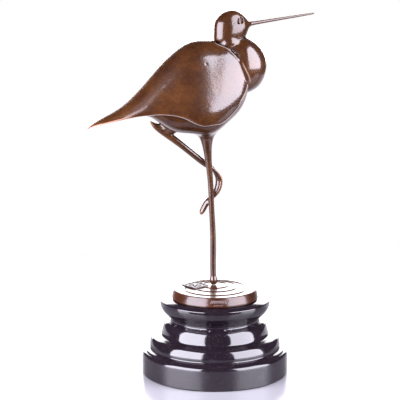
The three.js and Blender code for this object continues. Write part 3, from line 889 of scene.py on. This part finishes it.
def white_board(name, stage):
    """Glossy white acrylic board: pale, with a soft reflection of what stands on it."""
    material, tree = new_material(name)
    place = node(tree, "ShaderNodeTexCoord").outputs["Object"]
    parts = node(tree, "ShaderNodeSeparateXYZ", {0: place}).outputs
    seen = node(tree, "ShaderNodeLightPath").outputs["Is Camera Ray"]
    board = node(tree, "ShaderNodeBsdfPrincipled", {"Base Color": stage.board_colour, "Roughness": 0.2})
    white = node(tree, "ShaderNodeEmission", {"Color": (1, 1, 1, 1), "Strength": 1})
    away = node(tree, "ShaderNodeVectorMath", {0: place}, operation="LENGTH").outputs["Value"]
    fade = node(tree, "ShaderNodeMapRange", {"Value": away, "From Min": SHADED[0], "From Max": SHADED[1]},
                interpolation_type="SMOOTHSTEP")
    shown = node(tree, "ShaderNodeMixShader", {0: fade, 1: board, 2: white})
    # In what the metal mirrors, the back of the table glows as painted light, standing in for a lit floor
    back_glow = node(tree, "ShaderNodeEmission", {"Color": (0.95, 0.9, 1, 1), "Strength": 1.4})
    back = node(tree, "ShaderNodeMapRange", {"Value": parts["Y"], "From Min": GLOWING_BACK_FROM[0],
                 "From Max": GLOWING_BACK_FROM[1]})
    table = node(tree, "ShaderNodeMixShader", {0: back, 1: board, 2: back_glow})
    room = node(tree, "ShaderNodeEmission", {"Color": ROOM_COLOUR, "Strength": ROOM_GLOW})
    side = node(tree, "ShaderNodeMath", {0: parts["X"], 1: 0, 2: TABLE_REACH}, operation="COMPARE")
    front = node(tree, "ShaderNodeMath", {0: parts["Y"], 1: -TABLE_FRONT}, operation="GREATER_THAN")
    near = node(tree, "ShaderNodeMath", {0: side, 1: front}, operation="MULTIPLY")
    mirrored = node(tree, "ShaderNodeMixShader", {0: near, 1: room, 2: table})
    both = node(tree, "ShaderNodeMixShader", {0: seen, 1: mirrored, 2: shown})
    node(tree, "ShaderNodeOutputMaterial", {"Surface": both})
    return material


def add_piece(mesh, material, node_name):
    """Places a finished piece in the model, in place of its CAD node."""
    piece = bpy.data.objects.new(mesh.name, mesh)
    bpy.context.scene.collection.objects.link(piece)
    mesh.materials.clear()
    mesh.materials.append(material)
    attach(piece, "root")
    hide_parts(node_name)
    return piece


def softbox(name, centre, width, height, glow, colour):
    """An even rectangle of light; its glow is its brightness, where a white wall is 1."""
    towards = Vector((0, 0, centre[2]))
    lamp = bpy.data.lights.new(name, "AREA")
    lamp.shape = "RECTANGLE"
    lamp.size = width
    lamp.size_y = height
    lamp.energy = glow * math.pi * width * height
    lamp.color = colour
    box = bpy.data.objects.new(name, lamp)
    box.location = centre
    box.rotation_euler = (towards - Vector(centre)).to_track_quat("-Z", "Y").to_euler()
    bpy.context.scene.collection.objects.link(box)
    return box


def white_room():
    """White to look at, and dim in what the sculpture mirrors, as a studio round its lamps is."""
    world = bpy.data.worlds.new("Studio")
    world.use_nodes = True
    tree = world.node_tree
    tree.nodes.clear()
    seen = node(tree, "ShaderNodeLightPath").outputs["Is Camera Ray"]
    wall = node(tree, "ShaderNodeBackground", {"Color": (1, 1, 1, 1), "Strength": 1})
    dim = node(tree, "ShaderNodeBackground", {"Color": ROOM_COLOUR, "Strength": ROOM_GLOW})
    both = node(tree, "ShaderNodeMixShader", {0: seen, 1: dim, 2: wall})
    node(tree, "ShaderNodeOutputWorld", {"Surface": both})
    bpy.context.scene.world = world


# Half the board's side, in metres
BOARD_REACH = 2.3
# Where each softbox stands, in metres, with its width and height; each faces the middle level with it
LEFT_BOX = ((-0.466, -0.378, 0.35), 0.665, 0.74)
RIGHT_BOX = ((1.28, -0.68, 1.03), 1.55, 2.1)
BACKDROP = ((0, 2.4, 0.75), 2.6, 1.5)
# The camera looks this far down, in degrees
CAMERA_PLACE = (-0.0148, -1.9, 0.575)
CAMERA_DOWN = 11.91
CAMERA_LENS = 178


def add_stage(stage):
    r = BOARD_REACH
    floor_mesh = bpy.data.meshes.new("floor_board")
    floor_mesh.from_pydata([(-r, -r, 0), (r, -r, 0), (r, r, 0), (-r, r, 0)], [], [(0, 1, 2, 3)])
    floor = bpy.data.objects.new("floor_board", floor_mesh)
    bpy.context.scene.collection.objects.link(floor)
    floor_mesh.materials.append(white_board("White acrylic board", stage))
    white_room()
    softbox("Left softbox", *LEFT_BOX, stage.left_glow, stage.lamp_colour)
    softbox("Right softbox", *RIGHT_BOX, stage.right_glow, stage.lamp_colour)
    softbox("White backdrop", *BACKDROP, stage.backdrop_glow, (1, 0.98, 1))
    lens = bpy.data.cameras.new("Camera")
    lens.sensor_width = 36
    lens.lens = CAMERA_LENS
    camera = bpy.data.objects.new("Camera", lens)
    camera.location = CAMERA_PLACE
    camera.rotation_euler = (math.radians(90 - CAMERA_DOWN), 0, 0)
    bpy.context.scene.collection.objects.link(camera)
    bpy.context.scene.camera = camera
    bpy.context.scene.view_settings.view_transform = "Standard"


# Values of the sidebar, which are lengths in metres and angles in radians
def sidebar_length(length):
    """A length of the sidebar in millimetres."""
    return round(length / MM, 4)


def sidebar_angle(angle):
    """An angle of the sidebar, without the last digits that its storage adds."""
    return math.radians(round(math.degrees(angle), 3))


def colour_prop(name, description, default):
    """A colour of the sidebar from an sRGB hex value or from linear values."""
    if isinstance(default, str):
        default = linear(default)
    return bpy.props.FloatVectorProperty(
        name=name, description=description, default=default, size=len(default), min=0, max=1, subtype="COLOR")


def length_prop(name, description, millimetres, most, least=0):
    return bpy.props.FloatProperty(
        name=name, description=description, default=millimetres * MM, min=least * MM, max=most * MM,
        precision=5, unit="LENGTH")


def angle_prop(name, description, degrees):
    return bpy.props.FloatProperty(
        name=name, description=description, default=math.radians(degrees), subtype="ANGLE")


def share_prop(name, description, default):
    return bpy.props.FloatProperty(
        name=name, description=description, default=default, min=0, max=1, subtype="FACTOR")


def glow_prop(name, default):
    return bpy.props.FloatProperty(
        name=name, description="How bright it is, where a white wall is 1", default=default, min=0)


class ShorebirdSizes(bpy.types.PropertyGroup):
    casting_step: length_prop("Casting step", "Distance between the points of the lattice", 0.5, 3, 0.3)
    bird_turn: angle_prop("Turn of the bird", "How far the bird is turned on its foot", 11)
    head_turn: angle_prop("Turn of the head", "How much further the head and the bill look round", 14)
    wing_step: length_prop("Wing step", "How far the breast is set in under the wing", 2, 4)
    lip_rise: length_prop("Lip height", "How far the bead on the edge of the wing stands up", 0.4, 2)
    ripple_height: length_prop("Ripple height", "How far the rings of water stand up", 0.8, 2)
    ripple_width: length_prop("Ripple width", "Width of a ring of water at its foot", 4.4, 8, 1)
    stroke_depth: length_prop("Stroke depth", "How deep the strokes in the disc's rim are cut", 0.35, 1)
    plaque_side: length_prop("Plaque side", "Length of one side of the seal plaque", 18.8, 19)
    plaque_relief: length_prop("Plaque relief", "How far the flower and the border stand up", 0.7, 1.2)
    plaque_turn: angle_prop("Turn of the plaque", "How far the plaque is turned on the disc", 42)


class ShorebirdFinish(bpy.types.PropertyGroup):
    bird_dark: colour_prop("Bird, dark", "Darkest patches of the bird", "1b0b05")
    bird_brown: colour_prop("Bird, brown", "Patina over most of the bird", "2d1707")
    bird_warm: colour_prop("Bird, warm", "Lightest patches of the bird", "3c220c")
    disc_dark: colour_prop("Disc, dark", "Darkest patches of the disc", "180803")
    disc_brown: colour_prop("Disc, brown", "Patina over most of the disc", "2b1206")
    disc_warm: colour_prop("Disc, warm", "Lightest patches of the disc", "3b1a08")
    plaque_dark: colour_prop("Plaque, dark", "Darkest patches of the plaque", "14100d")
    plaque_grey: colour_prop("Plaque, grey", "Patina over most of the plaque", "28211c")
    plaque_pale: colour_prop("Plaque, pale", "Lightest patches of the plaque", "3a302a")
    # Dark wax in the creases, which also serves as painted shade there
    crease_wax_and_shade: colour_prop("Wax in creases", "Dark wax that stays in the creases", "0d0705")
    rubbed_edge: colour_prop("Rubbed edges", "Bronze where an edge has lost its patina", "6a4026")
    bare_lip: colour_prop("Bare lip", "Bare metal along the edge of the wing", "cdb8ac")
    marble_dark: colour_prop("Marble, darkest", "Ground of the marble", "0b070b")
    marble_black: colour_prop("Marble, black", "Middle of the marble's clouds", "130d13")
    marble_cloud: colour_prop("Marble, cloud", "Palest of the marble's clouds", "231b23")
    marble_fleck: colour_prop("Marble fleck", "Small pale flecks in the marble", "5a4f58")
    marble_chip: colour_prop("Marble chip", "Rough stone where an edge is knocked", "5c545e")
    bronze_roughness: share_prop("Bronze roughness", "How the bronze under the wax spreads light", 0.3)
    wax_roughness: share_prop("Wax roughness", "How the wax on the bird spreads light", 0.11)
    wax_weight: share_prop("Wax on the bird", "How strongly the wax shines", 0.85)
    edge_wear: share_prop("Edge wear", "How far the bird's edges have lost their patina", 0.7)


class ShorebirdStage(bpy.types.PropertyGroup):
    board_colour: colour_prop("Board", "Board that the sculpture stands on", (0.235, 0.235, 0.247, 1))
    lamp_colour: colour_prop("Softboxes", "Light from the two softboxes", (0.9, 0.87, 1))
    left_glow: glow_prop("Left softbox", 20)
    right_glow: glow_prop("Right softbox", 17)
    backdrop_glow: glow_prop("Backdrop", 7)


# Tools in the sidebar
class SHOREBIRD_OT_bird(bpy.types.Operator):
    """Add the bronze bird"""
    bl_idname = "shorebird.bird"
    bl_label = "Bird"

    def execute(self, context):
        sizes = context.scene.shorebird_sizes
        finish = context.scene.shorebird_finish
        step = sidebar_length(sizes.casting_step)
        mesh = casting_mesh("bird_casting", cast_bird(step, sizes), sizes)
        browns = (finish.bird_dark, finish.bird_brown, finish.bird_warm)
        bronze = patinated_bronze("Patinated bronze", browns, finish.bronze_roughness, finish.wax_roughness,
                                  finish.wax_weight, finish, finish.edge_wear, dull=0.3)
        add_piece(mesh, bronze, "bird")
        return {"FINISHED"}


class SHOREBIRD_OT_plinth(bpy.types.Operator):
    """Add the turned marble plinth"""
    bl_idname = "shorebird.plinth"
    bl_label = "Marble plinth"

    def execute(self, context):
        outline = turned_outline(PLINTH_OUTLINE, PLINTH_SPACING)
        marble = black_marble("Black marble", context.scene.shorebird_finish)
        mesh = mesh_from_rings("plinth_stone", turned_rings(outline, PLINTH_AROUND))
        add_piece(mesh, marble, "marble_plinth")
        return {"FINISHED"}


class SHOREBIRD_OT_disc(bpy.types.Operator):
    """Add the rippled bronze disc"""
    bl_idname = "shorebird.disc"
    bl_label = "Rippled disc"

    def execute(self, context):
        finish = context.scene.shorebird_finish
        browns = (finish.disc_dark, finish.disc_brown, finish.disc_warm)
        bronze = patinated_bronze("Polished disc bronze", browns, 0.3, 0.18, 0.55, finish)
        mesh = disc_mesh("disc_casting", context.scene.shorebird_sizes)
        add_piece(mesh, bronze, "ripple_disc")
        return {"FINISHED"}


class SHOREBIRD_OT_plaque(bpy.types.Operator):
    """Add the seal plaque"""
    bl_idname = "shorebird.plaque"
    bl_label = "Seal plaque"

    def execute(self, context):
        finish = context.scene.shorebird_finish
        greys = (finish.plaque_dark, finish.plaque_grey, finish.plaque_pale)
        bronze = patinated_bronze("Grey plaque bronze", greys, 0.4, 0.3, 0.6, finish)
        mesh = plaque_mesh("seal_plaque", context.scene.shorebird_sizes)
        add_piece(mesh, bronze, "seal_plate")
        return {"FINISHED"}


class SHOREBIRD_OT_stage(bpy.types.Operator):
    """Add the floor, the lights and the camera"""
    bl_idname = "shorebird.stage"
    bl_label = "Stage"

    def execute(self, context):
        add_stage(context.scene.shorebird_stage)
        return {"FINISHED"}


class SHOREBIRD_PT_panel(bpy.types.Panel):
    bl_idname = "SHOREBIRD_PT_panel"
    bl_label = "Shorebird"
    bl_space_type = "VIEW_3D"
    bl_region_type = "UI"
    bl_category = "Shorebird"

    def draw(self, context):
        for place, kind in GROUPS.items():
            for name in kind.__annotations__:
                self.layout.prop(getattr(context.scene, place), name)
        for tool in TOOLS:
            self.layout.operator(tool.bl_idname)


TOOLS = (
    SHOREBIRD_OT_stage,
    SHOREBIRD_OT_plinth,
    SHOREBIRD_OT_disc,
    SHOREBIRD_OT_plaque,
    SHOREBIRD_OT_bird,
)
GROUPS = {
    "shorebird_sizes": ShorebirdSizes,
    "shorebird_finish": ShorebirdFinish,
    "shorebird_stage": ShorebirdStage,
}
CLASSES = (*GROUPS.values(), *TOOLS, SHOREBIRD_PT_panel)


def register():
    for made in CLASSES:
        bpy.utils.register_class(made)
    for place, kind in GROUPS.items():
        setattr(bpy.types.Scene, place, bpy.props.PointerProperty(type=kind))


def unregister():
    for place in GROUPS:
        delattr(bpy.types.Scene, place)
    for made in reversed(CLASSES):
        bpy.utils.unregister_class(made)


def main():
    register()
    bpy.ops.shorebird.stage()
    bpy.ops.shorebird.plinth()
    bpy.ops.shorebird.disc()
    bpy.ops.shorebird.plaque()
    bpy.ops.shorebird.bird()


if __name__ == "__main__":
    main()
